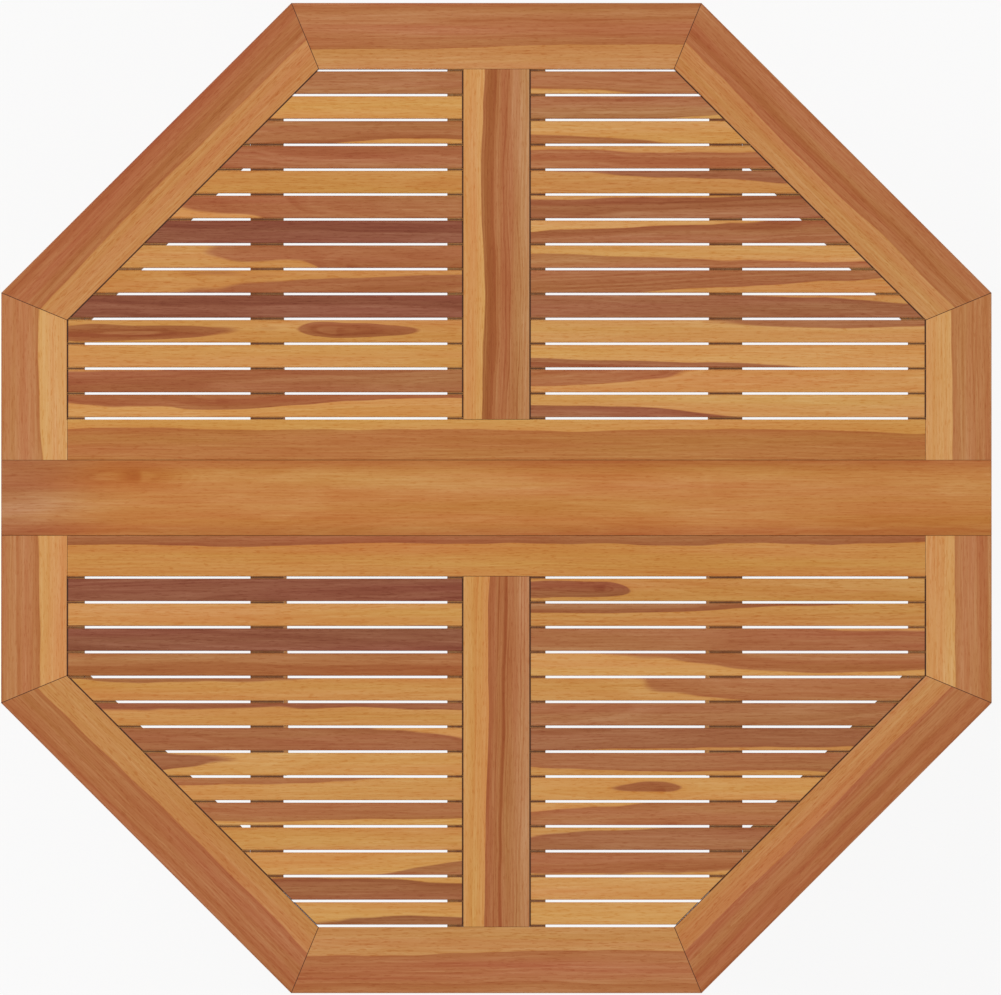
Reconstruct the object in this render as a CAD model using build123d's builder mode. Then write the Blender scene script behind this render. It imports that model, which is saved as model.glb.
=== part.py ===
from build123d import *
import os
from math import atan, cos, pi, sin, sqrt, tan

os.makedirs("parts", exist_ok=True)

# Eight-sided top, across its flats, with the centre board between two drop leaves
across_flats = 1200.0
table_height = 750.0
board_thickness = 28.0
board_width = 80.0
centre_width = 91.0
hinge_rail_width = 49.0
stile_width = 81.0
leaf_gap = 0.4
board_ease = 2.5

# Slats, and the battens and ledges that carry them
slat_count = 14
slat_thickness = 10.0
slat_gap = 3.0
slat_end_gap = 0.2
slat_ease = 0.9
batten_width = 40.0
batten_offset = 278.0
stile_ledge_width = 19.0
side_ledge_width = 21.0
diagonal_ledge_width = 20.0
ledge_end_gap = 0.5
land_recess = 1.5
notch_clearance = 0.25

# Butt hinges under the two joints of the top
hinge_offset = 400.0
hinge_length = 64.0
hinge_plate_width = 32.0
hinge_plate_thickness = 2.0
knuckle_radius = 3.8
knuckle_clearance = 0.2
plate_relief = 0.7
middle_knuckle_length = 26.0
pin_radius = 2.0
pin_clearance = 0.05
knuckle_play = 0.3
screw_spacing = 44.0
screw_setback = 20.0
screw_length = 17.0
screw_radius = 2.0
screw_head_radius = 4.0

# Crossed legs, pivoted under the leaves
leg_thickness = 19.0
leg_depth = 45.0
leg_spread = 300.0
leg_top_clearance = 5.5
leg_play = 0.5
leg_ease = 2.0
block_length = 64.0
block_radius = 20.0

# Pivot bolts at the leg tops and at the crossing
bolt_radius = 5.0
bolt_clearance = 0.05
bolt_head_radius = 9.0
bolt_head_thickness = 3.0
bolt_head_clearance = 0.3
barrel_radius = 6.0
crossing_rail_radius = 17.0
crossing_screw_depth = 45.0

# Sides of the nuts, and of the shanks, bores and small screws, which are hidden or under the top
nut_sides = 6
shank_sides = 8
knuckle_sides = 10

# Plan of the top
half = across_flats / 2
corner = half * tan(pi / 8)
inner_half = half - board_width
inner_corner = inner_half * tan(pi / 8)
leaf_edge = centre_width / 2 + leaf_gap
panel_edge = leaf_edge + hinge_rail_width
slat_pitch = (inner_half - panel_edge - slat_gap) / slat_count
slat_width = slat_pitch - slat_gap

# Levels
underside = table_height - board_thickness
ledge_thickness = board_thickness - slat_thickness
hinge_y = centre_width / 2 + leaf_gap / 2
hinge_z = underside - knuckle_radius - knuckle_clearance
screw_head_height = screw_head_radius - screw_radius
plate_base = underside - hinge_plate_thickness

# Leg line, from the pivot under a leaf, through the crossing, to the foot on the other side
pivot_z = underside - leg_depth / 2 - leg_top_clearance
lean = atan(2 * leg_spread / pivot_z)
crossing_z = pivot_z / 2
inner_layer = (batten_offset - leg_play / 2 - leg_thickness, batten_offset - leg_play / 2)
outer_layer = (batten_offset + leg_play / 2, batten_offset + leg_play / 2 + leg_thickness)

# The rear leaf lies on +Y and the front leaf on -Y; each carries one pair of legs
leaves = {"rear": 1, "front": -1}
sides = {"left": -1, "right": 1}
leg_layers = {"rear": inner_layer, "front": outer_layer}
block_layers = {"rear": outer_layer, "front": inner_layer}
hinge_places = (-hinge_offset, 0.0, hinge_offset)


def save(builder, name):
    """Label a finished piece and write it."""
    builder.part.label = name
    export_step(builder.part, f"parts/{name}.step")


def placed(points, side, leaf):
    """Move points of the rear right quarter to another quarter of the top."""
    moved = [(side * x, leaf * y) for x, y in points]
    return moved if side * leaf > 0 else moved[::-1]


def panel(margin):
    """Outline of the slatted field of one quarter, drawn in by a margin at its ends."""
    diagonal = inner_half + inner_corner - margin * sqrt(2)
    near = stile_width / 2 + margin
    far = inner_half - margin
    return [
        (near, panel_edge),
        (far, panel_edge),
        (far, diagonal - far),
        (diagonal - inner_half, inner_half),
        (near, inner_half),
    ]


def stretch(layer, side):
    """Lower and upper X of a layer on one side."""
    return (layer[0], layer[1]) if side > 0 else (-layer[1], -layer[0])


def drill(x_from, x_to, y, z, radius):
    """Sink a round recess along X into the piece being made."""
    with BuildSketch(Plane.YZ.offset(min(x_from, x_to))) as recess:
        with Locations((y, z)):
            Circle(radius)
    extrude(recess.sketch, amount=abs(x_to - x_from), mode=Mode.SUBTRACT)


def bore(x_from, x_to, y, z, radius):
    """Cut a hidden hole along X that clears a shank of the given radius."""
    with BuildSketch(Plane.YZ.offset(min(x_from, x_to))) as hole:
        with Locations((y, z)):
            RegularPolygon(radius, shank_sides, major_radius=False)
    extrude(hole.sketch, amount=abs(x_to - x_from), mode=Mode.SUBTRACT)


def rod(x_from, x_to, y, z, radius):
    """Add a round bar along X to the piece being made."""
    with BuildSketch(Plane.YZ.offset(min(x_from, x_to))) as section:
        with Locations((y, z)):
            Circle(radius)
    extrude(section.sketch, amount=abs(x_to - x_from))


def shank(x_from, x_to, y, z, radius, flats=shank_sides):
    """Add a bar with flats along X that turns inside a round hole of its own radius."""
    with BuildSketch(Plane.YZ.offset(min(x_from, x_to))) as section:
        with Locations((y, z)):
            RegularPolygon(radius, flats)
    extrude(section.sketch, amount=abs(x_to - x_from))


def screw_points(leaf, towards_leaf):
    """Places of the hinge screws in the centre board or in one leaf."""
    y = leaf * (hinge_y + screw_setback * (1 if towards_leaf else -1))
    return [(x + end * screw_spacing / 2, y) for x in hinge_places for end in (-1, 1)]


def pilot_holes(points):
    """Cut the screw holes into a board from below."""
    with BuildSketch(Plane.XY.offset(plate_base)) as holes:
        with Locations(*points):
            RegularPolygon(screw_radius + pin_clearance, shank_sides, major_radius=False)
    extrude(holes.sketch, amount=screw_length, mode=Mode.SUBTRACT)


def raise_lands(strip, leaf):
    """Raise a batten or ledge between the slats, so that each slat lies in a notch."""
    with BuildSketch(Plane.XY.offset(underside + ledge_thickness)) as lands:
        for gap in range(slat_count + 1):
            with Locations((0, leaf * (panel_edge + slat_gap / 2 + gap * slat_pitch))):
                Rectangle(across_flats, slat_gap - 2 * notch_clearance)
        add(strip.sketch_local, mode=Mode.INTERSECT)
    extrude(lands.sketch, amount=slat_thickness - land_recess)


def ease_outer_edges(builder, outward):
    """Round the upper and lower edge of the face that looks outward."""
    direction = Axis((0, 0, 0), outward)
    upper = builder.edges().group_by(Axis.Z)[-1].sort_by(direction)[-1]
    lower = builder.edges().group_by(Axis.Z)[0].sort_by(direction)[-1]
    fillet([upper, lower], radius=min(board_ease, 0.4 * board_thickness))


# Centre board, the one piece that neither drops nor swings
with BuildPart() as centre_board:
    with BuildSketch(Plane.XY.offset(underside)):
        Rectangle(across_flats, centre_width)
    extrude(amount=board_thickness)
    pilot_holes(screw_points(1, False) + screw_points(-1, False))
    ends = centre_board.faces().filter_by(Axis.X).edges().filter_by(Axis.Y)
    fillet(ends, radius=min(board_ease, 0.4 * board_thickness))
save(centre_board, "centre_board")

# Perimeter boards, mitred at the eight corners
for leaf_name, leaf in leaves.items():
    with BuildPart() as outer_rail:
        with BuildSketch(Plane.XY.offset(underside)):
            Polygon(
                *placed([(-corner, half), (-inner_corner, inner_half), (inner_corner, inner_half),
                         (corner, half)], 1, leaf),
                align=None,
            )
        extrude(amount=board_thickness)
        ease_outer_edges(outer_rail, (0, leaf, 0))
    save(outer_rail, f"{leaf_name}_outer_rail")

    for side_name, side in sides.items():
        with BuildPart() as diagonal_board:
            with BuildSketch(Plane.XY.offset(underside)):
                Polygon(
                    *placed([(inner_corner, inner_half), (inner_half, inner_corner), (half, corner),
                             (corner, half)], side, leaf),
                    align=None,
                )
            extrude(amount=board_thickness)
            ease_outer_edges(diagonal_board, (side, leaf, 0))
        save(diagonal_board, f"{leaf_name}_{side_name}_diagonal_board")

        with BuildPart() as side_board:
            with BuildSketch(Plane.XY.offset(underside)):
                Polygon(
                    *placed([(inner_half, leaf_edge), (half, leaf_edge), (half, corner),
                             (inner_half, inner_corner)], side, leaf),
                    align=None,
                )
            extrude(amount=board_thickness)
            ease_outer_edges(side_board, (side, 0, 0))
        save(side_board, f"{leaf_name}_{side_name}_side_board")

    # Hinge rail along the centre board, and the stile from it to the outer rail
    with BuildPart() as hinge_rail:
        with BuildSketch(Plane.XY.offset(underside)):
            with Locations((0, leaf * (leaf_edge + hinge_rail_width / 2))):
                Rectangle(2 * inner_half, hinge_rail_width)
        extrude(amount=board_thickness)
        pilot_holes(screw_points(leaf, True))
    save(hinge_rail, f"{leaf_name}_hinge_rail")

    with BuildPart() as stile:
        with BuildSketch(Plane.XY.offset(underside)):
            with Locations((0, leaf * (panel_edge + inner_half) / 2)):
                Rectangle(stile_width, inner_half - panel_edge)
        extrude(amount=board_thickness)
    save(stile, f"{leaf_name}_stile")

# Slats, cut square at the stile and along the diagonal at the other end
for leaf_name, leaf in leaves.items():
    for side_name, side in sides.items():
        with BuildPart() as slats:
            with BuildSketch(Plane.XY.offset(underside + ledge_thickness)):
                for row in range(slat_count):
                    row_y = panel_edge + slat_gap + slat_width / 2 + row * slat_pitch
                    with Locations((side * half / 2, leaf * row_y)):
                        Rectangle(half, slat_width)
                Polygon(*placed(panel(slat_end_gap), side, leaf), align=None, mode=Mode.INTERSECT)
            extrude(amount=slat_thickness)
            rims = slats.edges().group_by(Axis.Z)[-1].filter_by(Axis.X)
            chamfer(rims, length=min(slat_ease, 0.3 * slat_width))
        save(slats, f"{leaf_name}_{side_name}_slats")

        # Batten under the middle of the slats
        with BuildPart() as batten:
            with BuildSketch(Plane.XY.offset(underside)) as strip:
                with Locations((side * batten_offset, leaf * half / 2)):
                    Rectangle(batten_width, half)
                Polygon(*placed(panel(0), side, leaf), align=None, mode=Mode.INTERSECT)
            extrude(amount=ledge_thickness)
            raise_lands(strip, leaf)
        save(batten, f"{leaf_name}_{side_name}_batten")

    # Ledges along the stile, the side boards and the diagonals
    with BuildPart() as ledges:
        for side in sides.values():
            batten_edge = batten_offset + batten_width / 2 + ledge_end_gap
            side_ledge_edge = inner_half - side_ledge_width
            ledge_end = side_ledge_edge - ledge_end_gap
            diagonal = inner_half + inner_corner
            ledge_diagonal = diagonal - diagonal_ledge_width * sqrt(2)
            with BuildSketch(Plane.XY.offset(underside)) as straight_ledges:
                with Locations((side * (stile_width + stile_ledge_width) / 2,
                                leaf * (panel_edge + inner_half) / 2)):
                    Rectangle(stile_ledge_width, inner_half - panel_edge)
                Polygon(
                    *placed([(side_ledge_edge, panel_edge), (inner_half, panel_edge),
                             (inner_half, inner_corner), (side_ledge_edge, diagonal - side_ledge_edge)],
                            side, leaf),
                    align=None,
                )
            extrude(amount=ledge_thickness)
            raise_lands(straight_ledges, leaf)
            with BuildSketch(Plane.XY.offset(underside)) as diagonal_ledge:
                Polygon(
                    *placed([(batten_edge, ledge_diagonal - batten_edge),
                             (ledge_end, ledge_diagonal - ledge_end), (ledge_end, diagonal - ledge_end),
                             (batten_edge, diagonal - batten_edge)], side, leaf),
                    align=None,
                )
            extrude(amount=ledge_thickness)
            raise_lands(diagonal_ledge, leaf)
    save(ledges, f"{leaf_name}_slat_ledges")


def hinge_plate(place, joint_y, plate_y, spans):
    """One half of a butt hinge: a plate under a board, with knuckles over the given spans of X."""
    cut_back = knuckle_radius + plate_relief
    edge_y = joint_y + cut_back * (1 if plate_y > joint_y else -1)
    with BuildSketch(Plane.XY.offset(plate_base)) as plate:
        with Locations((place, (edge_y + plate_y) / 2)):
            Rectangle(hinge_length, abs(plate_y - edge_y))
    extrude(plate.sketch, amount=hinge_plate_thickness)
    web_height = hinge_plate_thickness - knuckle_clearance
    for x_from, x_to in spans:
        with BuildSketch(Plane.YZ.offset(place + x_from)) as knuckle:
            with Locations((joint_y, hinge_z)):
                RegularPolygon(knuckle_radius, knuckle_sides)
            with Locations(((joint_y + edge_y) / 2, plate_base + web_height / 2)):
                Rectangle(cut_back, web_height)
            with Locations((joint_y, hinge_z)):
                RegularPolygon(pin_radius + pin_clearance, shank_sides, major_radius=False,
                               mode=Mode.SUBTRACT)
        extrude(knuckle.sketch, amount=x_to - x_from)


def plate_holes(points):
    """Countersink the screw holes of the hinge plates from below."""
    with BuildSketch(Plane.XY.offset(plate_base)) as holes:
        with Locations(*points):
            RegularPolygon(screw_radius + pin_clearance, shank_sides, major_radius=False)
    extrude(holes.sketch, amount=hinge_plate_thickness, mode=Mode.SUBTRACT)
    with BuildSketch(Plane.XY.offset(plate_base)) as sinks:
        with Locations(*points):
            RegularPolygon(screw_head_radius + pin_clearance, shank_sides, major_radius=False)
    extrude(sinks.sketch, amount=screw_head_height, taper=45, mode=Mode.SUBTRACT)


middle_span = (-middle_knuckle_length / 2, middle_knuckle_length / 2)
end_spans = [
    (-hinge_length / 2, middle_span[0] - knuckle_play),
    (middle_span[1] + knuckle_play, hinge_length / 2),
]

# Hinge halves on the centre board, with the pins they hold
with BuildPart() as centre_hinge_plates:
    for leaf in leaves.values():
        for place in hinge_places:
            hinge_plate(place, leaf * hinge_y, leaf * (hinge_y - hinge_plate_width), end_spans)
        plate_holes(screw_points(leaf, False))
save(centre_hinge_plates, "centre_hinge_plates")

with BuildPart() as hinge_pins:
    for leaf in leaves.values():
        for place in hinge_places:
            shank(place - hinge_length / 2, place + hinge_length / 2, leaf * hinge_y, hinge_z, pin_radius)
save(hinge_pins, "hinge_pins")

# Hinge halves on the leaves
for leaf_name, leaf in leaves.items():
    with BuildPart() as leaf_hinge_plates:
        for place in hinge_places:
            hinge_plate(place, leaf * hinge_y, leaf * (hinge_y + hinge_plate_width), [middle_span])
        plate_holes(screw_points(leaf, True))
    save(leaf_hinge_plates, f"{leaf_name}_hinge_plates")

# Countersunk screws, driven up through the hinge plates into the boards
with BuildPart(mode=Mode.PRIVATE) as one_screw:
    with BuildSketch():
        RegularPolygon(screw_head_radius, shank_sides, major_radius=False)
    extrude(amount=screw_head_height, taper=45)
    with BuildSketch():
        RegularPolygon(screw_radius, shank_sides, major_radius=False)
    extrude(amount=screw_length)

screw_sets = {
    "centre_hinge_screws": screw_points(1, False) + screw_points(-1, False),
    "rear_hinge_screws": screw_points(1, True),
    "front_hinge_screws": screw_points(-1, True),
}
for screw_set, points in screw_sets.items():
    with BuildPart() as hinge_screws:
        with Locations(*[(x, y, plate_base) for x, y in points]):
            add(one_screw.part)
    save(hinge_screws, screw_set)

# Legs, the blocks that they turn on, and their bolts
for leaf_name, leaf in leaves.items():
    pivot = (leaf * leg_spread, pivot_z)
    along = (leaf * sin(lean), cos(lean))
    across = (along[1], -along[0])
    leg_layer = leg_layers[leaf_name]
    block_layer = block_layers[leaf_name]
    outwards = leg_layer is outer_layer
    leg_face = leg_layer[1] if outwards else leg_layer[0]
    block_face = block_layer[0] if outwards else block_layer[1]
    leg_inset = -1 if outwards else 1
    nut_seat = leg_face + leg_inset * (bolt_head_thickness + bolt_head_clearance)
    head_seat = block_face - leg_inset * bolt_head_thickness

    edge_lines = []
    for edge in (-leg_depth / 2, leg_depth / 2):
        top = (pivot[0] + edge * across[0], pivot[1] + edge * across[1])
        foot = (top[0] - top[1] / along[1] * along[0], 0)
        edge_lines.append((top, foot))

    for side_name, side in sides.items():
        with BuildPart() as leg:
            with BuildSketch(Plane.YZ.offset(stretch(leg_layer, side)[0])):
                Polygon(edge_lines[0][0], edge_lines[0][1], edge_lines[1][1], edge_lines[1][0], align=None)
                with Locations(pivot):
                    Circle(leg_depth / 2)
            extrude(amount=leg_thickness)
            long_edges = leg.edges().filter_by(Axis((0, 0, 0), (0, along[0], along[1])))
            chamfer(long_edges, length=min(leg_ease, 0.2 * leg_thickness))
            bore(side * leg_layer[0], side * leg_layer[1], *pivot, bolt_radius + bolt_clearance)
            drill(side * leg_face, side * nut_seat, *pivot, bolt_head_radius + bolt_head_clearance)
            if outwards:
                bore(side * leg_layer[0], side * leg_layer[1], 0, crossing_z, barrel_radius + bolt_clearance)
                drill(side * leg_face, side * (leg_face - bolt_head_thickness), 0, crossing_z,
                      bolt_head_radius + bolt_clearance)
            else:
                bore(side * leg_layer[0], side * leg_layer[1], 0, crossing_z, bolt_radius + bolt_clearance)
        save(leg, f"{leaf_name}_{side_name}_leg")

    with BuildPart() as pivot_blocks:
        for side in sides.values():
            with BuildSketch(Plane.YZ.offset(stretch(block_layer, side)[0])):
                Polygon((pivot[0] - block_radius, pivot_z), (pivot[0] + block_radius, pivot_z),
                        (pivot[0] + block_length / 2, underside), (pivot[0] - block_length / 2, underside),
                        align=None)
                with Locations(pivot):
                    Circle(block_radius)
            extrude(amount=leg_thickness)
            bore(side * block_layer[0], side * block_layer[1], *pivot, bolt_radius + bolt_clearance)
            drill(side * block_face, side * head_seat, *pivot, bolt_head_radius + bolt_clearance)
    save(pivot_blocks, f"{leaf_name}_pivot_blocks")

    with BuildPart() as leg_bolts:
        for side in sides.values():
            shank(side * block_face, side * leg_face, *pivot, bolt_radius)
            rod(side * block_face, side * head_seat, *pivot, bolt_head_radius)
            shank(side * leg_face, side * (leg_face + leg_inset * bolt_head_thickness), *pivot,
                  bolt_head_radius, nut_sides)
    save(leg_bolts, f"{leaf_name}_leg_bolts")

# Rail between the rear pair of legs at the crossing, with the screws in its ends
with BuildPart() as crossing_rail:
    rod(-inner_layer[0], inner_layer[0], 0, crossing_z, crossing_rail_radius)
    for side in sides.values():
        bore(side * inner_layer[0], side * (inner_layer[0] - crossing_screw_depth), 0, crossing_z,
             bolt_radius + bolt_clearance)
save(crossing_rail, "crossing_rail")

with BuildPart() as crossing_screws:
    for side in sides.values():
        shank(side * inner_layer[1], side * (inner_layer[0] - crossing_screw_depth), 0, crossing_z,
              bolt_radius)
save(crossing_screws, "crossing_screws")

# Barrel nuts in the front pair of legs, which the crossing screws meet
with BuildPart() as crossing_barrels:
    for side in sides.values():
        shank(side * outer_layer[0], side * outer_layer[1], 0, crossing_z, barrel_radius)
        rod(side * outer_layer[1], side * (outer_layer[1] - bolt_head_thickness), 0, crossing_z,
            bolt_head_radius)
save(crossing_barrels, "crossing_barrels")
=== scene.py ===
from math import cos, pi, radians, sin, sqrt, tan

import bpy
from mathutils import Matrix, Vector


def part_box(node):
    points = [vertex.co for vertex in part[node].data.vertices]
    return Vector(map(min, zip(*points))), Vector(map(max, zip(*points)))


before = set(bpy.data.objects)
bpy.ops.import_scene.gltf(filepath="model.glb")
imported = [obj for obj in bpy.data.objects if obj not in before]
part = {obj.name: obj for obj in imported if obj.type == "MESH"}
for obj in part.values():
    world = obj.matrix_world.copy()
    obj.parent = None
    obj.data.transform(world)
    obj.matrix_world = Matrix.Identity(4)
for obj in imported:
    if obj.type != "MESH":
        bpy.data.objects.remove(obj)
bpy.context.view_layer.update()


# Centre board: one long board of oiled teak across the middle of the table, the only piece that stays put.
# Planed and sanded, golden, but brown at its left end and along both edges, with one knot.
# It meets the leaves in two close hinge joints, and its edges are eased by hand.

def connect(tree, socket, value):
    """Link a socket, or set it where the value is a plain one."""
    if isinstance(value, bpy.types.NodeSocket):
        tree.links.new(value, socket)
    else:
        socket.default_value = value


def place(tree, kind, inputs=None, **settings):
    """Add a shader node with its settings and inputs."""
    made = tree.nodes.new(kind)
    for name, value in settings.items():
        setattr(made, name, value)
    for name, value in (inputs or {}).items():
        connect(tree, made.inputs[name], value)
    return made


def maths(tree, operation, *values):
    """Add a Math node and return its result."""
    made = tree.nodes.new("ShaderNodeMath")
    made.operation = operation
    for socket, value in zip(made.inputs, values):
        connect(tree, socket, value)
    return made.outputs[0]


def total(tree, *values):
    """Add values up."""
    result = values[0]
    for value in values[1:]:
        result = maths(tree, "ADD", result, value)
    return result


def centred(tree, value, width):
    """Spread a value from 0 to 1 over a width about zero."""
    return maths(tree, "MULTIPLY_ADD", value, width, -width / 2)


def reach(tree, first, second):
    """Length of the slope over two sides."""
    return maths(tree, "SQRT", total(tree, maths(tree, "MULTIPLY", first, first),
                                     maths(tree, "MULTIPLY", second, second)))


def ramp(tree, value, low, high, to_low=0.0, to_high=1.0):
    """Ease a value from one range into another."""
    made = place(tree, "ShaderNodeMapRange", interpolation_type="SMOOTHSTEP")
    for socket, entry in zip(made.inputs, (value, low, high, to_low, to_high)):
        connect(tree, socket, entry)
    return made.outputs[0]


def noise(tree, vector, detail=2.0, roughness=0.5):
    """Noise from 0 to 1 over a vector."""
    made = place(tree, "ShaderNodeTexNoise",
                 {"Vector": vector, "Scale": 1.0, "Detail": detail, "Roughness": roughness})
    return made.outputs["Fac"]


def bands(tree, value, detail=2.0):
    """Noise from 0 to 1 along a single value."""
    made = place(tree, "ShaderNodeTexNoise", {"W": value, "Scale": 1.0, "Detail": detail},
                 noise_dimensions="1D")
    return made.outputs["Fac"]


def stretched(tree, along, across, depth, scales, seed):
    """Vector of the three directions of the wood, each at its own scale."""
    sides = [maths(tree, "MULTIPLY_ADD", value, scale, seed)
             for value, scale in zip((along, across, depth), scales)]
    made = place(tree, "ShaderNodeCombineXYZ", dict(zip("XYZ", sides)))
    return made.outputs[0]


def blend_colours(tree, amount, first, second):
    """Mix two colours."""
    made = place(tree, "ShaderNodeMix", data_type="RGBA")
    connect(tree, made.inputs["Factor"], amount)
    connect(tree, made.inputs[6], first)
    connect(tree, made.inputs[7], second)
    return made.outputs[2]


def open_group(name, inputs, outputs):
    """Start a shader node group with named sockets."""
    tree = bpy.data.node_groups.new(name, "ShaderNodeTree")
    for label, kind, start in inputs:
        socket = tree.interface.new_socket(label, in_out="INPUT", socket_type=kind)
        if start is not None:
            socket.default_value = start
    for label, kind in outputs:
        tree.interface.new_socket(label, in_out="OUTPUT", socket_type=kind)
    return tree, tree.nodes.new("NodeGroupInput").outputs, tree.nodes.new("NodeGroupOutput").inputs


def use_group(tree, group, inputs):
    """Place a shader node group with its inputs."""
    made = tree.nodes.new("ShaderNodeGroup")
    made.node_tree = group
    for label, value in inputs.items():
        connect(tree, made.inputs[label], value)
    return made


NUMBER, COLOUR, POINT = "NodeSocketFloat", "NodeSocketColor", "NodeSocketVector"

# Waves to the metre of what is drawn out along the grain: along it, across the face and through the depth
SWAY, RIPPLE = (2.6, 9.0, 9.0), (13.0, 40.0, 40.0)
CLOUD, TINT = (3.0, 34.0, 34.0), (2.2, 48.0, 48.0)
FIBRE, PORE = (14.0, 430.0, 430.0), (95.0, 800.0, 800.0)
# Bands to the metre from the pith outwards
RING, WIDE_RING, VEIN_RING = 330.0, 75.0, 210.0
# How far the rings sway and ripple, and how far a knot draws them in, in metres
SWAY_REACH, RIPPLE_REACH, KNOT_PULL = 0.026, 0.006, -0.014
# The grain that flows round a knot, and the knot's eye: squeeze along the grain, wobble, inner and outer radius
KNOT_FLOW, KNOT_EYE = (0.20, 0.7, 0.002, 0.019), (0.80, 0.3, 0.001, 0.007)
KNOT_TAIL = 0.55
# From full heartwood to full sapwood, and how deep the heartwood is darker at its rim
HEART_BOUND, RIM_DEPTH = (-0.0007, 0.0009), 0.007
# How much each of them darkens the wood, and how far its hue drifts
RING_TONE, CLOUD_TONE, FIBRE_TONE = 0.24, 0.40, 0.54
RIM_TONE, FLOW_TONE, EYE_TONE = 0.10, 0.12, 0.20
STREAK_TONE, STREAK_TONE_SAP = 0.36, 0.14
PORE_TONE, PORE_TONE_SAP = 0.13, 0.21
PLAIN_HUE, HUE_DRIFT = 0.5, 0.03

# The figure of sawn teak: growth rings round the pith of the log, heartwood inside and sapwood outside
teak_figure, given, result = open_group(
    "teak figure",
    [("Along", NUMBER, 0.0), ("Across", NUMBER, 0.0), ("Depth", NUMBER, 0.0),
     ("Pith Across", NUMBER, 0.0), ("Pith Depth", NUMBER, -0.1), ("Slant", NUMBER, 0.0), ("Dip", NUMBER, 0.0),
     ("Heart Radius", NUMBER, 1.0), ("Heart Colour", COLOUR, None), ("Sap Colour", COLOUR, None),
     ("Streaks", NUMBER, 0.5), ("Shade", NUMBER, 0.0), ("Seed", NUMBER, 0.0),
     ("Knot Along", NUMBER, 0.0), ("Knot Across", NUMBER, 0.0), ("Knot Size", NUMBER, 0.0)],
    [("Colour", COLOUR), ("Roughness", NUMBER), ("Height", NUMBER)],
)
tree = teak_figure
wood = [given[name] for name in ("Along", "Across", "Depth")]
sway = noise(tree, stretched(tree, *wood, SWAY, given["Seed"]), 1.0)
ripple = noise(tree, stretched(tree, *wood, RIPPLE, given["Seed"]), 1.0)
warp = total(tree, centred(tree, sway, SWAY_REACH), centred(tree, ripple, RIPPLE_REACH))
sideways = maths(tree, "MULTIPLY_ADD", given["Along"], given["Slant"],
                 maths(tree, "SUBTRACT", given["Across"], given["Pith Across"]))
downward = maths(tree, "MULTIPLY_ADD", given["Along"], given["Dip"],
                 maths(tree, "SUBTRACT", given["Depth"], given["Pith Depth"]))
radius = total(tree, warp, reach(tree, sideways, downward))
from_knot = maths(tree, "SUBTRACT", given["Along"], given["Knot Along"])
from_knot = maths(tree, "MULTIPLY_ADD", maths(tree, "ABSOLUTE", from_knot), KNOT_TAIL, from_knot)
knot_across = maths(tree, "SUBTRACT", given["Across"], given["Knot Across"])
knot_spread = maths(tree, "MAXIMUM", given["Knot Size"], 1.0)
knot_parts = []
for squeeze, wobble, inner, outer in (KNOT_FLOW, KNOT_EYE):
    knot_away = total(tree, maths(tree, "MULTIPLY", warp, wobble),
                      reach(tree, maths(tree, "MULTIPLY", from_knot, squeeze), knot_across))
    within = ramp(tree, maths(tree, "DIVIDE", knot_away, knot_spread), inner, outer, 1.0, 0.0)
    knot_parts.append(maths(tree, "MULTIPLY", within, given["Knot Size"]))
knot_flow, knot_eye = knot_parts
radius = maths(tree, "MULTIPLY_ADD", knot_flow, KNOT_PULL, radius)
beyond = maths(tree, "SUBTRACT", radius, given["Heart Radius"])
sapwood = ramp(tree, beyond, *HEART_BOUND)
vein_seed, tint_seed = [maths(tree, "ADD", given["Seed"], shift) for shift in (5.0, 9.0)]
rings = bands(tree, maths(tree, "MULTIPLY_ADD", radius, RING, given["Seed"]), 3.0)
wide_rings = bands(tree, maths(tree, "MULTIPLY_ADD", radius, WIDE_RING, given["Seed"]), 1.0)
vein_rings = bands(tree, maths(tree, "MULTIPLY_ADD", radius, VEIN_RING, vein_seed), 1.0)
clouds = noise(tree, stretched(tree, *wood, CLOUD, given["Seed"]), 3.0)
tint = noise(tree, stretched(tree, *wood, TINT, tint_seed), 2.0)
fibre = noise(tree, stretched(tree, *wood, FIBRE, given["Seed"]), 3.0, 0.65)
pore_field = noise(tree, stretched(tree, *wood, PORE, given["Seed"]), 1.0)
pores = ramp(tree, pore_field, 0.56, 0.70)
broken = ramp(tree, clouds, 0.42, 0.60)
veins = maths(tree, "MULTIPLY", ramp(tree, vein_rings, 0.64, 0.74), broken)
streaks = maths(tree, "MULTIPLY", given["Streaks"], total(
    tree, ramp(tree, wide_rings, 0.54, 0.68), ramp(tree, wide_rings, 0.30, 0.44, -0.3, 0.0), veins))
heart_rim = maths(tree, "MULTIPLY", ramp(tree, beyond, -RIM_DEPTH, 0.0), maths(tree, "SUBTRACT", 1.0, sapwood))
streak_tone = maths(tree, "MULTIPLY_ADD", sapwood, STREAK_TONE_SAP - STREAK_TONE, STREAK_TONE)
pore_tone = maths(tree, "MULTIPLY_ADD", sapwood, PORE_TONE_SAP - PORE_TONE, PORE_TONE)
darkness = total(
    tree, given["Shade"],
    centred(tree, rings, RING_TONE),
    centred(tree, clouds, CLOUD_TONE),
    centred(tree, fibre, FIBRE_TONE),
    maths(tree, "MULTIPLY", streaks, streak_tone),
    maths(tree, "MULTIPLY", heart_rim, RIM_TONE),
    maths(tree, "MULTIPLY", knot_flow, FLOW_TONE),
    maths(tree, "MULTIPLY", knot_eye, EYE_TONE),
    maths(tree, "MULTIPLY", pores, pore_tone),
)
base = blend_colours(tree, sapwood, given["Heart Colour"], given["Sap Colour"])
toned = place(tree, "ShaderNodeGamma", {"Color": base, "Gamma": maths(tree, "ADD", darkness, 1.0)})
hue = maths(tree, "MULTIPLY_ADD", tint, HUE_DRIFT, PLAIN_HUE - HUE_DRIFT / 2)
tinted = place(tree, "ShaderNodeHueSaturation", {"Color": toned.outputs[0], "Hue": hue})
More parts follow.
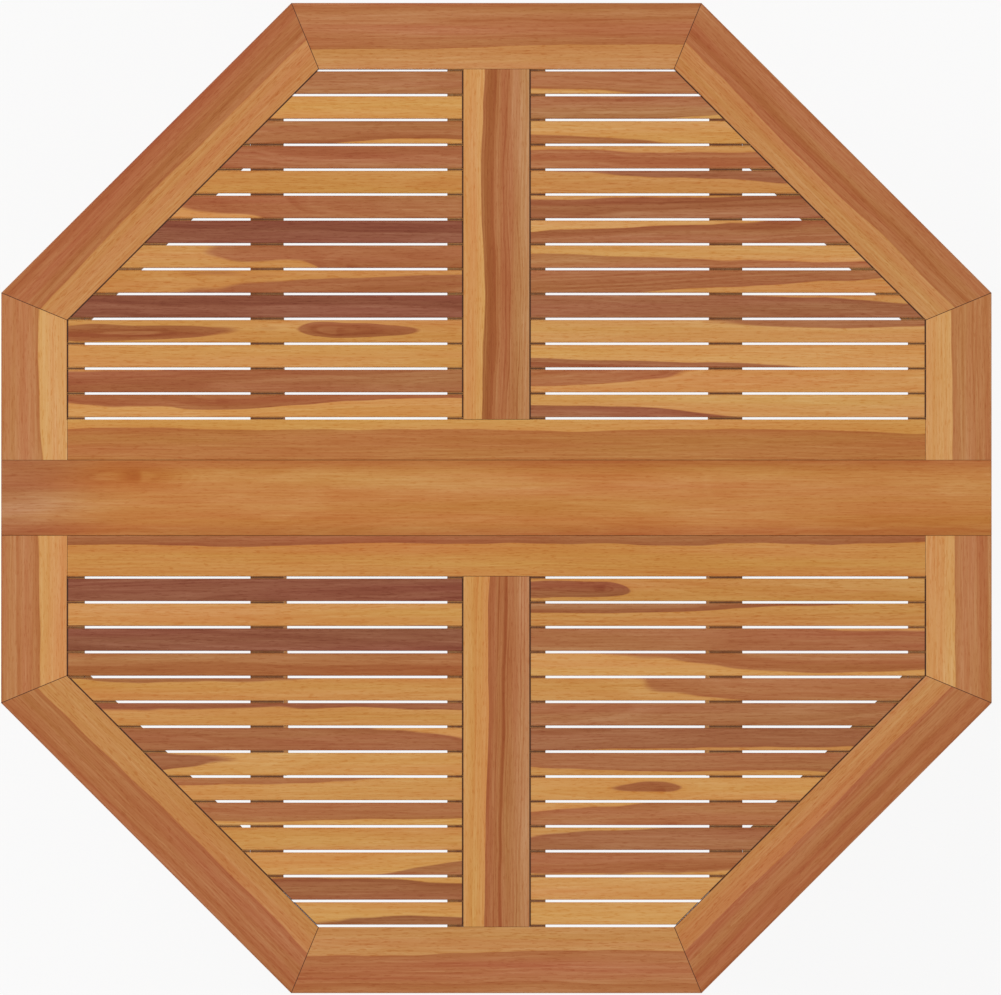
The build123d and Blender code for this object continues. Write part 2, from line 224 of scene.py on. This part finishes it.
connect(tree, result["Colour"], tinted.outputs[0])
connect(tree, result["Roughness"], total(tree, 0.44, maths(tree, "MULTIPLY", fibre, 0.16),
                                         maths(tree, "MULTIPLY", pores, 0.10)))
connect(tree, result["Height"], total(tree, maths(tree, "MULTIPLY", fibre, 0.5),
                                      maths(tree, "MULTIPLY", rings, 0.25),
                                      maths(tree, "MULTIPLY", pores, -0.6)))

# A fine dark line where two pieces meet, for wood within a millimetre of the joint; the same line is painted
# shadow along the middle of the notch lands between slats
LINE_CORE, LINE_EDGE = 0.0004, 0.0009
joint_and_shadow_line, given, result = open_group(
    "joint and shadow line", [("Colour", COLOUR, None), ("Distance", NUMBER, 1.0), ("Line Colour", COLOUR, None)],
    [("Colour", COLOUR)])
near = ramp(joint_and_shadow_line, given["Distance"], LINE_CORE, LINE_EDGE, 1.0, 0.0)
connect(joint_and_shadow_line, result["Colour"], blend_colours(joint_and_shadow_line, near, given["Colour"], given["Line Colour"]))

JOINT_SHADOW = (0.055, 0.014, 0.004, 1.0)
# Distances are stretched by this, so that a close joint has a finer line and an open one a broader line
CLOSE_JOINT, OPEN_JOINT = 1.6, 0.6
OILED_GLOSS = 0.25


def wood_frame(tree, along, across, origin):
    """Place on the wood, measured along the grain, across the face and through the depth."""
    at = place(tree, "ShaderNodeTexCoord").outputs["Object"]
    moved = place(tree, "ShaderNodeVectorMath", {0: at, 1: origin}, operation="SUBTRACT").outputs[0]
    through = Vector(along).cross(Vector(across))
    return [place(tree, "ShaderNodeVectorMath", {0: moved, 1: tuple(axis)},
                  operation="DOT_PRODUCT").outputs["Value"] for axis in (along, across, through)]


def start_teak(name):
    """A material with a satin shader for oiled teak."""
    material = bpy.data.materials.new(name)
    material.use_nodes = True
    tree = material.node_tree
    shader = tree.nodes["Principled BSDF"]
    shader.inputs["Specular IOR Level"].default_value = OILED_GLOSS
    return material, tree, shader


def finish_teak(tree, shader, figure, colour=None, relief=0.0004, strength=0.35):
    """Join the figure of the wood to the shader."""
    connect(tree, shader.inputs["Base Color"], colour or figure.outputs["Colour"])
    connect(tree, shader.inputs["Roughness"], figure.outputs["Roughness"])
    bump = place(tree, "ShaderNodeBump",
                 {"Height": figure.outputs["Height"], "Strength": strength, "Distance": relief})
    connect(tree, shader.inputs["Normal"], bump.outputs[0])


def figure_of(tree, along, across, depth, **values):
    """The figure group with its place on the wood and its own values."""
    named = {label.replace("_", " "): value for label, value in values.items()}
    return use_group(tree, teak_figure, {"Along": along, "Across": across, "Depth": depth, **named})


def lined(tree, figure, distance):
    """The figure's colour with the dark line of a joint over it; on the notch lands the line is painted shadow.
    """
    made = use_group(tree, joint_and_shadow_line, {"Colour": figure.outputs["Colour"], "Distance": distance,
                                        "Line Colour": JOINT_SHADOW})
    return made.outputs[0]


def dress(material, *names):
    """Give CAD pieces their material."""
    for name in names:
        part[name].data.materials.clear()
        part[name].data.materials.append(material)


def soften(name, width=0.0007, weld_reach=0.00001, sharp=radians(40)):
    """Take the sharpness off a board's edges, as sanding does."""
    weld = part[name].modifiers.new("weld", "WELD")
    weld.merge_threshold = weld_reach
    bevel = part[name].modifiers.new("sanded edges", "BEVEL")
    bevel.width = width
    bevel.segments = 2
    bevel.limit_method = "ANGLE"
    bevel.angle_limit = sharp


def face_middle(name):
    """Middle of a piece's upper face."""
    low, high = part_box(name)
    return ((low[0] + high[0]) / 2, (low[1] + high[1]) / 2, high[2])


GRAIN_X, GRAIN_Y = (1.0, 0.0, 0.0), (0.0, 1.0, 0.0)
_, board_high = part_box("centre_board")
half_table = board_high[0]
BOARD_GOLD, BOARD_BROWN = (0.560, 0.218, 0.050, 1), (0.455, 0.172, 0.062, 1)
BOARD_SAP = (0.60, 0.28, 0.09, 1)
# Waves to the metre of the browned edges and of the drift in tone, and how far these go
WANDER, DRIFT = (4.0, 30.0, 30.0), (5.0, 22.0, 22.0)
WANDER_ACROSS, WANDER_ALONG, DRIFT_TONE = 0.03, 0.16, 0.44

material, tree, shader = start_teak("centre board teak")
along, across, depth = wood_frame(tree, GRAIN_X, GRAIN_Y, face_middle("centre_board"))
from_middle = maths(tree, "ABSOLUTE", across)
wander = noise(tree, stretched(tree, along, across, depth, WANDER, 7.0), 2.0)
wavy_across = maths(tree, "MULTIPLY_ADD", wander, WANDER_ACROSS, from_middle)
wavy_along = maths(tree, "MULTIPLY_ADD", wander, WANDER_ALONG, along)
edge_shade = ramp(tree, wavy_across, 0.034, 0.066, -0.02, 0.20)
drift = noise(tree, stretched(tree, along, across, depth, DRIFT, 3.0), 3.0)
left_end = ramp(tree, wavy_along, -0.52, -0.34, 1.0, 0.0)
long_edges = ramp(tree, from_middle, 0.026, 0.046, 0.0, 0.35)
board_colour = blend_colours(tree, maths(tree, "MAXIMUM", left_end, long_edges), BOARD_GOLD, BOARD_BROWN)
figure = figure_of(tree, along, across, depth, Pith_Across=0.012, Pith_Depth=-0.16, Dip=0.006,
                   Heart_Radius=1.0, Heart_Colour=board_colour, Sap_Colour=BOARD_SAP, Streaks=0.25,
                   Shade=total(tree, edge_shade, centred(tree, drift, DRIFT_TONE)),
                   Seed=11.0, Knot_Along=-0.436, Knot_Across=0.026, Knot_Size=1.7)
finish_teak(tree, shader, figure)
dress(material, "centre_board")
soften("centre_board")


# Perimeter boards: eight sides of oiled teak, mitred at the corners and cut at the centre board.
# Each is reddish heartwood on its outer part and golden sapwood towards the slats, with a wavy bound between.
# The mitres are glued and show as fine lines, with darker lines where the slats end against the boards.

inner_low, inner_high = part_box("rear_hinge_rail")
half_field = inner_high[0]
board_width = half_table - half_field
MITRE = (sin(pi / 8), cos(pi / 8))
pith_across, heart_start = -0.24, 0.245
heart_share = 0.62

perimeter = []
for leaf, sign_y in (("rear", 1.0), ("front", -1.0)):
    perimeter.append((f"{leaf}_outer_rail", (0.0, sign_y)))
    for side, sign_x in (("left", -1.0), ("right", 1.0)):
        perimeter.append((f"{leaf}_{side}_diagonal_board", (sign_x / sqrt(2), sign_y / sqrt(2))))
        perimeter.append((f"{leaf}_{side}_side_board", (sign_x, 0.0)))

PERIMETER_HEART = (0.455, 0.158, 0.050, 1)
PERIMETER_HEART_PALE = (0.520, 0.212, 0.074, 1)
PERIMETER_SAP = (0.572, 0.246, 0.072, 1)
PERIMETER_SAP_PALE = (0.690, 0.345, 0.118, 1)

for number, (name, (out_x, out_y)) in enumerate(perimeter):
    material, tree, shader = start_teak(f"{name} teak")
    outer_edge = (out_x * half_table, out_y * half_table, board_high[2])
    along, across, depth = wood_frame(tree, (-out_y, out_x, 0.0), (-out_x, -out_y, 0.0), outer_edge)
    pale = "side_board" in name
    figure = figure_of(
        tree, along, across, depth,
        Pith_Across=pith_across, Pith_Depth=-0.05, Slant=0.006 * ((number % 3) - 1),
        Heart_Radius=heart_start + board_width * (heart_share - 0.03 * (number % 4)),
        Heart_Colour=PERIMETER_HEART_PALE if pale else PERIMETER_HEART,
        Sap_Colour=PERIMETER_SAP_PALE if pale else PERIMETER_SAP,
        Streaks=0.38, Shade=0.03 * ((number * 2) % 5 - 2) + (0.0 if pale else 0.03), Seed=20.0 + 3.7 * number)
    at = place(tree, "ShaderNodeTexCoord").outputs["Object"]
    x_size, y_size, _ = [maths(tree, "ABSOLUTE", out)
                         for out in place(tree, "ShaderNodeSeparateXYZ", {0: at}).outputs]
    to_mitres = []
    for first, second in (MITRE, MITRE[::-1]):
        to_mitres.append(maths(tree, "ABSOLUTE", maths(tree, "SUBTRACT", maths(tree, "MULTIPLY", x_size, first),
                                                       maths(tree, "MULTIPLY", y_size, second))))
    to_joint = maths(tree, "MULTIPLY", maths(tree, "MINIMUM", *to_mitres), CLOSE_JOINT)
    if "outer_rail" not in name:
        to_inner_edge = maths(tree, "SUBTRACT", board_width, across)
        below_face = maths(tree, "MULTIPLY", depth, -1.0)
        to_field = maths(tree, "SUBTRACT", inner_high[1], y_size)
        to_slats = maths(tree, "MAXIMUM", to_inner_edge, maths(tree, "MAXIMUM", below_face, to_field))
        to_joint = maths(tree, "MINIMUM", to_joint, to_slats)
    finish_teak(tree, shader, figure, lined(tree, figure, to_joint))
    dress(material, name)
    soften(name)


# Hinge rails: a board along each side of the centre board, which the leaf hangs from.
# The rear one keeps a strip of sapwood along the slats, the front one a dark strip along the hinge joint.
# Their ends butt against the side boards, and the stiles butt against them.

rail_width = inner_high[1] - inner_low[1]
rail_pith = 0.200
rail_figures = {
    "rear": dict(Heart_Radius=rail_pith + 0.71 * rail_width, Heart_Colour=(0.475, 0.172, 0.040, 1),
                 Sap_Colour=(0.625, 0.285, 0.066, 1), Streaks=0.2, Seed=61.0),
    "front": dict(Heart_Radius=rail_pith + 0.24 * rail_width, Heart_Colour=(0.390, 0.130, 0.040, 1),
                  Sap_Colour=(0.595, 0.252, 0.056, 1), Streaks=0.25, Seed=66.0),
}
for leaf, sign_y in (("rear", 1.0), ("front", -1.0)):
    material, tree, shader = start_teak(f"{leaf} hinge rail teak")
    hinge_edge = (0.0, sign_y * inner_low[1], board_high[2])
    along, across, depth = wood_frame(tree, GRAIN_X, (0.0, sign_y, 0.0), hinge_edge)
    figure = figure_of(tree, along, across, depth, Pith_Across=-rail_pith, Pith_Depth=-0.02, Slant=0.004,
                       **rail_figures[leaf])
    to_end = maths(tree, "SUBTRACT", half_field, maths(tree, "ABSOLUTE", along))
    finish_teak(tree, shader, figure, lined(tree, figure, maths(tree, "MULTIPLY", to_end, CLOSE_JOINT)))
    dress(material, f"{leaf}_hinge_rail")
    soften(f"{leaf}_hinge_rail")


# Stiles: the short middle boards from the hinge rails to the outer rails, between the two fields of slats.
# Golden sapwood along the left, brown heartwood with dark streaks in the middle, striped towards the right.
# Butted against the rails at both ends, where the joints show as fine lines.

STILE_HEART, STILE_SAP = (0.445, 0.162, 0.050, 1), (0.670, 0.322, 0.098, 1)
stile_figures = {
    "rear": dict(Heart_Radius=0.242, Streaks=0.8, Seed=81.0),
    "front": dict(Heart_Radius=0.239, Streaks=0.9, Seed=87.0),
}
for leaf in ("rear", "front"):
    stile_low, stile_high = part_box(f"{leaf}_stile")
    material, tree, shader = start_teak(f"{leaf} stile teak")
    along, across, depth = wood_frame(tree, GRAIN_Y, (-1.0, 0.0, 0.0), face_middle(f"{leaf}_stile"))
    figure = figure_of(tree, along, across, depth, Pith_Across=-0.225, Pith_Depth=-0.02, Slant=0.01,
                       Heart_Colour=STILE_HEART, Sap_Colour=STILE_SAP,
                       Shade=ramp(tree, across, -0.034, -0.012, -0.20, 0.04), **stile_figures[leaf])
    half_length = (stile_high[1] - stile_low[1]) / 2
    half_width = (stile_high[0] - stile_low[0]) / 2
    to_end = maths(tree, "SUBTRACT", half_length, maths(tree, "ABSOLUTE", along))
    to_side = maths(tree, "SUBTRACT", half_width, maths(tree, "ABSOLUTE", across))
    to_joint = maths(tree, "MINIMUM", maths(tree, "MULTIPLY", to_end, CLOSE_JOINT), to_side)
    finish_teak(tree, shader, figure, lined(tree, figure, to_joint))
    dress(material, f"{leaf}_stile")
    soften(f"{leaf}_stile")


# Slats: fourteen to each quarter, sawn from many different boards, so no two match in colour or figure.
# Oiled teak from pale gold to dark purplish brown, many with both in tongues and stripes, a few with knots.
# Laid in notches of the battens and ledges, with open gaps between them.

slat_low, slat_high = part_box("rear_right_slats")
slat_rows = 14
slat_gap = 0.003
slat_pitch = (slat_high[1] - slat_low[1] + slat_gap) / slat_rows

# The place on each slat and its own lot: where its log's pith lies, its tone and its knot
FIGURE_PLACES = ("Along", "Across", "Depth")
FIGURE_LOTS = ("Pith Across", "Pith Depth", "Slant", "Dip", "Seed", "Knot Along", "Knot Across", "Knot Size")
slat_lot, given, result = open_group(
    "slat lot", [("Place", POINT, None), ("Quarter", NUMBER, 0.0)],
    [(label, NUMBER) for label in (*FIGURE_PLACES, *FIGURE_LOTS, "Heart Radius", "Row", "Tone", "Sap Tone",
                                   "To End", "To Gap")])
tree = slat_lot
x_place, y_place, z_place = place(tree, "ShaderNodeSeparateXYZ", {0: given["Place"]}).outputs
x_size, y_size = maths(tree, "ABSOLUTE", x_place), maths(tree, "ABSOLUTE", y_place)
steps = maths(tree, "DIVIDE", maths(tree, "SUBTRACT", y_size, slat_low[1] - slat_gap / 2), slat_pitch)
row = maths(tree, "FLOOR", steps)
middle = maths(tree, "SUBTRACT", maths(tree, "FRACT", steps), 0.5)
draws = []
for draw in range(4):
    corner = place(tree, "ShaderNodeCombineXYZ", {"X": row, "Y": given["Quarter"], "Z": draw + 0.5})
    lot = place(tree, "ShaderNodeTexWhiteNoise", {"Vector": corner.outputs[0]}, noise_dimensions="3D")
    draws += list(place(tree, "ShaderNodeSeparateColor", {0: lot.outputs["Color"]}).outputs)
slat_pith_across = centred(tree, draws[0], 0.070)
slat_pith_depth = maths(tree, "MULTIPLY_ADD", draws[1], -0.040, -0.004)
to_stile = maths(tree, "SUBTRACT", x_size, slat_low[0])
to_side = maths(tree, "SUBTRACT", slat_high[0], x_size)
diagonal_reach = half_field * (1 + tan(pi / 8))
to_diagonal = maths(tree, "SUBTRACT", diagonal_reach, total(tree, x_size, y_size))
to_diagonal = maths(tree, "DIVIDE", to_diagonal, sqrt(2))
from_middle = maths(tree, "ABSOLUTE", middle)
slat_values = {
    "Along": maths(tree, "SUBTRACT", x_size, (slat_low[0] + slat_high[0]) / 2),
    "Across": maths(tree, "MULTIPLY", middle, slat_pitch),
    "Depth": maths(tree, "SUBTRACT", z_place, slat_high[2]),
    "Row": row,
    "Pith Across": slat_pith_across,
    "Pith Depth": slat_pith_depth,
    "Slant": centred(tree, draws[2], 0.09),
    "Dip": centred(tree, draws[3], 0.16),
    "Heart Radius": total(tree, reach(tree, slat_pith_across, slat_pith_depth), centred(tree, draws[4], 0.030)),
    "Tone": draws[5],
    "Sap Tone": draws[6],
    "Seed": maths(tree, "MULTIPLY_ADD", draws[7], 80.0, given["Quarter"]),
    "Knot Along": centred(tree, draws[8], 0.36),
    "Knot Across": centred(tree, draws[9], 0.036),
    "Knot Size": ramp(tree, draws[10], 0.70, 0.95),
    "To End": maths(tree, "MINIMUM", to_stile, maths(tree, "MINIMUM", to_side, to_diagonal)),
    "To Gap": maths(tree, "MULTIPLY", slat_pitch, maths(tree, "SUBTRACT", 0.5, from_middle)),
}
for label, value in slat_values.items():
    connect(tree, result[label], value)

SLAT_HEART = (0.440, 0.158, 0.050, 1)
SLAT_HEART_DARK = (0.275, 0.084, 0.038, 1)
SLAT_SAP = (0.680, 0.325, 0.090, 1)
SLAT_SAP_BROWN = (0.585, 0.255, 0.062, 1)
dark_rows = {"rear_left": (7, 4), "rear_right": (), "front_left": (0, 2), "front_right": ()}
quarter_shade = {"rear_left": 0.0, "rear_right": -0.06, "front_left": 0.0, "front_right": -0.04}

for number, (quarter, darkest) in enumerate(dark_rows.items()):
    material, tree, shader = start_teak(f"{quarter} slat teak")
    at = place(tree, "ShaderNodeTexCoord").outputs["Object"]
    lot = use_group(tree, slat_lot, {"Place": at, "Quarter": 3.0 + 17.0 * number}).outputs
    dark = 0.0
    for row_number in darkest:
        dark = maths(tree, "ADD", maths(tree, "COMPARE", lot["Row"], float(row_number), 0.4), dark)
    mostly_light = maths(tree, "MULTIPLY", maths(tree, "POWER", lot["Tone"], 3.0), 0.6)
    tone = maths(tree, "MAXIMUM", dark, mostly_light)
    figure = figure_of(
        tree, *[lot[label] for label in FIGURE_PLACES], **{label: lot[label] for label in FIGURE_LOTS},
        Heart_Radius=maths(tree, "MULTIPLY_ADD", dark, 0.1, lot["Heart Radius"]),
        Heart_Colour=blend_colours(tree, tone, SLAT_HEART, SLAT_HEART_DARK),
        Sap_Colour=blend_colours(tree, lot["Sap Tone"], SLAT_SAP, SLAT_SAP_BROWN),
        Streaks=0.4, Shade=quarter_shade[quarter])
    to_end = maths(tree, "MULTIPLY", lot["To End"], OPEN_JOINT)
    finish_teak(tree, shader, figure, lined(tree, figure, to_end))
    dress(material, f"{quarter}_slats")


# Battens and ledges: strips of the same teak, notched for the slats, which show only in the gaps.
# The battens cross the slats at the middle of each field, the ledges follow the stiles, sides and diagonals.
# Fixed under the boards and left as sawn, so a little darker and rougher, with a painted shadow line along the
# middle of each notch land between the slats.

UNDER_HEART, UNDER_SAP = (0.480, 0.200, 0.062, 1), (0.620, 0.290, 0.088, 1)
SAWN_RELIEF = 0.0006
land_recess = 0.0015


def plain_teak(name, along_axis, across_axis, origin, seed, shadow_on_lands=False):
    """Teak for the strips and legs under the top, with a painted shadow line along the middle of each land
    between slats that lie in notches.
    """
    material, tree, shader = start_teak(name)
    along, across, depth = wood_frame(tree, along_axis, across_axis, origin)
    figure = figure_of(tree, along, across, depth, Pith_Across=0.02, Pith_Depth=-0.06, Dip=0.03,
                       Heart_Radius=0.085, Heart_Colour=UNDER_HEART, Sap_Colour=UNDER_SAP,
                       Streaks=0.4, Seed=seed)
    colour = None
    # Painted shadow: the middle of each land between two slats is darkened, as shade from the slats' edges;
    # lower down the notch the wood is left plain
    if shadow_on_lands:
        at = place(tree, "ShaderNodeTexCoord").outputs["Object"]
        lot = use_group(tree, slat_lot, {"Place": at})
        height = place(tree, "ShaderNodeSeparateXYZ", {0: at}).outputs["Z"]
        below = maths(tree, "LESS_THAN", height, slat_high[2] - 2 * land_recess)
        colour = lined(tree, figure, maths(tree, "ADD", lot.outputs["To Gap"], below))
    finish_teak(tree, shader, figure, colour, SAWN_RELIEF)
    return material


top_middle = (0.0, 0.0, board_high[2])
for leaf, batten_seed, ledge_seed in (("rear", 101.0, 121.0), ("front", 108.0, 128.0)):
    for side in ("left", "right"):
        name = f"{leaf}_{side}_batten"
        dress(plain_teak(f"{name} teak", GRAIN_Y, GRAIN_X, face_middle(name), batten_seed, True), name)
    ledge_teak = plain_teak(f"{leaf} ledge teak", GRAIN_Y, GRAIN_X, top_middle, ledge_seed, True)
    dress(ledge_teak, f"{leaf}_slat_ledges")


# Butt hinges: six pressed brass hinges under the joints, three to a leaf, with their pins.
# Satin brass that has dulled and browned in patches outdoors, with fine scratches.
# Held by countersunk screws of darker brass, driven up into the boards.

PATCH, SCRATCH = (38.0, 38.0, 38.0), (30.0, 1400.0, 1400.0)

# Metal that has dulled in patches, with fine scratches along its length
metal_age, given, result = open_group(
    "metal age", [("Place", POINT, None), ("Metal Colour", COLOUR, None), ("Tarnish Colour", COLOUR, None),
                  ("Tarnish", NUMBER, 0.5)],
    [("Colour", COLOUR), ("Roughness", NUMBER), ("Height", NUMBER)])
tree = metal_age


def scaled(tree, vector, sizes):
    """A place with each direction at its own scale."""
    return place(tree, "ShaderNodeVectorMath", {0: vector, 1: sizes}, operation="MULTIPLY").outputs[0]


patches = noise(tree, scaled(tree, given["Place"], PATCH), 5.0, 0.55)
scratches = noise(tree, scaled(tree, given["Place"], SCRATCH), 2.0)
dulled = maths(tree, "MULTIPLY", ramp(tree, patches, 0.35, 0.68), given["Tarnish"])
connect(tree, result["Colour"], blend_colours(tree, dulled, given["Metal Colour"], given["Tarnish Colour"]))
connect(tree, result["Roughness"], total(tree, 0.24, maths(tree, "MULTIPLY", dulled, 0.3),
                                         maths(tree, "MULTIPLY", scratches, 0.14)))
connect(tree, result["Height"], total(tree, maths(tree, "MULTIPLY", scratches, 0.5),
                                      maths(tree, "MULTIPLY", patches, 0.5)))


def aged_metal(name, colour, tarnish_colour, tarnish, relief=0.0002, strength=0.3):
    """Metal with tarnish and fine scratches."""
    material = bpy.data.materials.new(name)
    material.use_nodes = True
    tree = material.node_tree
    shader = tree.nodes["Principled BSDF"]
    shader.inputs["Metallic"].default_value = 1.0
    at = place(tree, "ShaderNodeTexCoord").outputs["Object"]
    age = use_group(tree, metal_age, {"Place": at, "Metal Colour": colour, "Tarnish Colour": tarnish_colour,
                                      "Tarnish": tarnish})
    connect(tree, shader.inputs["Base Color"], age.outputs["Colour"])
    connect(tree, shader.inputs["Roughness"], age.outputs["Roughness"])
    bump = place(tree, "ShaderNodeBump",
                 {"Height": age.outputs["Height"], "Strength": strength, "Distance": relief})
    connect(tree, shader.inputs["Normal"], bump.outputs[0])
    return material


hinge_brass = aged_metal("hinge brass", (0.70, 0.50, 0.21, 1), (0.42, 0.27, 0.11, 1), 0.7)
screw_brass = aged_metal("screw brass", (0.50, 0.35, 0.16, 1), (0.30, 0.19, 0.09, 1), 0.6)
dress(hinge_brass, "centre_hinge_plates", "rear_hinge_plates", "front_hinge_plates", "hinge_pins")
dress(screw_brass, "centre_hinge_screws", "rear_hinge_screws", "front_hinge_screws")


# Legs: two crossed pairs of teak bars with round tops, cut level at the feet.
# Each pair turns on bolts through rounded blocks under its own leaf, and the pairs cross at half height.
# A round rail between the inner pair stiffens them at the crossing.

pivot_z = sum(corner[2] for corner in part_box("rear_leg_bolts")) / 2
pivot_y = sum(corner[1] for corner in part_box("rear_leg_bolts")) / 2
for leaf, sign_y, leg_seed, block_seed in (("rear", 1.0, 140.0, 170.0), ("front", -1.0, 149.0, 175.0)):
    slope = Vector((0.0, sign_y * 2 * pivot_y, pivot_z)).normalized()
    square = Vector((0.0, slope.z, -slope.y))
    pivot = (0.0, sign_y * pivot_y, pivot_z)
    for side_number, side in enumerate(("left", "right")):
        name = f"{leaf}_{side}_leg"
        dress(plain_teak(f"{name} teak", tuple(slope), tuple(square), pivot, leg_seed + 4 * side_number), name)
    block_teak = plain_teak(f"{leaf} pivot block teak", GRAIN_Y, (0.0, 0.0, 1.0), pivot, block_seed)
    dress(block_teak, f"{leaf}_pivot_blocks")
rail_middle = (0.0, 0.0, pivot_z / 2)
dress(plain_teak("crossing rail teak", GRAIN_X, GRAIN_Y, rail_middle, 185.0), "crossing_rail")


# Leg bolts and crossing screws: zinc-plated steel, sunk into the wood.
# A leg bolt has a round head in its block and a six-sided nut in its leg, and carries the leg under the leaf.
# A crossing screw goes into a barrel nut, where the two pairs of legs cross.

bolt_steel = aged_metal("bolt steel", (0.66, 0.66, 0.65, 1), (0.40, 0.39, 0.37, 1), 0.5)
dress(bolt_steel, "rear_leg_bolts", "front_leg_bolts", "crossing_screws", "crossing_barrels")


# Floor: a plain white studio floor, which reads as white and keeps a soft shadow under the table.
# It is clear from below, so that the underside can be looked at.

floor_size = 30.0
floor_mesh = bpy.data.meshes.new("floor")
floor_corners = [(x * floor_size, y * floor_size, 0) for x, y in ((-1, -1), (1, -1), (1, 1), (-1, 1))]
floor_mesh.from_pydata(floor_corners, [], [(0, 1, 2, 3)])
floor = bpy.data.objects.new("floor", floor_mesh)
bpy.context.collection.objects.link(floor)


def seen_directly(tree):
    """One for rays from the camera, from a mirror or through glass."""
    rays = tree.nodes.new("ShaderNodeLightPath").outputs
    return maths(tree, "MINIMUM", 1.0, total(tree, rays["Is Camera Ray"], rays["Is Glossy Ray"],
                                             rays["Is Transmission Ray"]))


floor_paint = bpy.data.materials.new("floor white")
floor_paint.use_nodes = True
tree = floor_paint.node_tree
shader = tree.nodes["Principled BSDF"]
shader.inputs["Base Color"].default_value = (0.8, 0.8, 0.8, 1)
shader.inputs["Roughness"].default_value = 0.9
glow = place(tree, "ShaderNodeEmission", {"Color": (1, 1, 1, 1), "Strength": 1.0})
glow_share = 0.88
mixed = place(tree, "ShaderNodeMixShader", {"Fac": maths(tree, "MULTIPLY", seen_directly(tree), glow_share)})
connect(tree, mixed.inputs[1], shader.outputs[0])
connect(tree, mixed.inputs[2], glow.outputs[0])
back = place(tree, "ShaderNodeNewGeometry").outputs["Backfacing"]
from_below = place(tree, "ShaderNodeMixShader", {"Fac": back})
connect(tree, from_below.inputs[1], mixed.outputs[0])
connect(tree, from_below.inputs[2], place(tree, "ShaderNodeBsdfTransparent").outputs[0])
connect(tree, tree.nodes["Material Output"].inputs["Surface"], from_below.outputs[0])
floor_mesh.materials.append(floor_paint)


# Light: a bright even room, which reads as white behind the table.
# One large soft lamp hangs at the upper left, and a weaker one opposite fills the shadows.

world = bpy.data.worlds.new("room")
bpy.context.scene.world = world
world.use_nodes = True
tree = world.node_tree
room = tree.nodes["Background"]
room.inputs["Color"].default_value = (1.0, 1.0, 1.0, 1)
room_level = 0.62
connect(tree, room.inputs["Strength"], maths(tree, "MAXIMUM", room_level, seen_directly(tree)))

# Place, width and power
lamps = {
    "key lamp": ((-2.2, 2.0, 4.2), 2.4, 62.0),
    "fill lamp": ((2.6, -2.2, 3.4), 2.4, 22.0),
}
for name, (spot, width, power) in lamps.items():
    lamp = bpy.data.lights.new(name, "AREA")
    lamp.shape = "DISK"
    lamp.size = width
    lamp.energy = power
    hung = bpy.data.objects.new(name, lamp)
    hung.location = spot
    hung.rotation_euler = (Vector(top_middle) - Vector(spot)).to_track_quat("-Z", "Y").to_euler()
    hung.visible_camera = False
    bpy.context.collection.objects.link(hung)


# Camera: above the table with a very long lens, so that it shows flat, as in the photograph.
# It leans a degree towards the front, so that no floor shows through the close joints of the leaves.

photo_width = 1001
table_pixels = 990.5
metres_per_pixel = 2 * half_table / table_pixels
photo_middle = (500.5, 497.5)
table_in_photo = (496.4, 497.8)
camera_lean = radians(1.2)
lens = 850.0
sensor = 36.0
distance = photo_width * metres_per_pixel * lens / sensor
camera = bpy.data.cameras.new("camera")
camera.lens = lens
camera.sensor_width = sensor
camera.clip_end = 200.0
stand = bpy.data.objects.new("camera", camera)
stand.rotation_euler = (camera_lean, 0.0, 0.0)
stand.location = ((photo_middle[0] - table_in_photo[0]) * metres_per_pixel,
                  (table_in_photo[1] - photo_middle[1]) * metres_per_pixel - distance * sin(camera_lean),
                  board_high[2] + distance * cos(camera_lean))
bpy.context.collection.objects.link(stand)
bpy.context.scene.camera = stand
bpy.context.scene.view_settings.view_transform = "Standard"
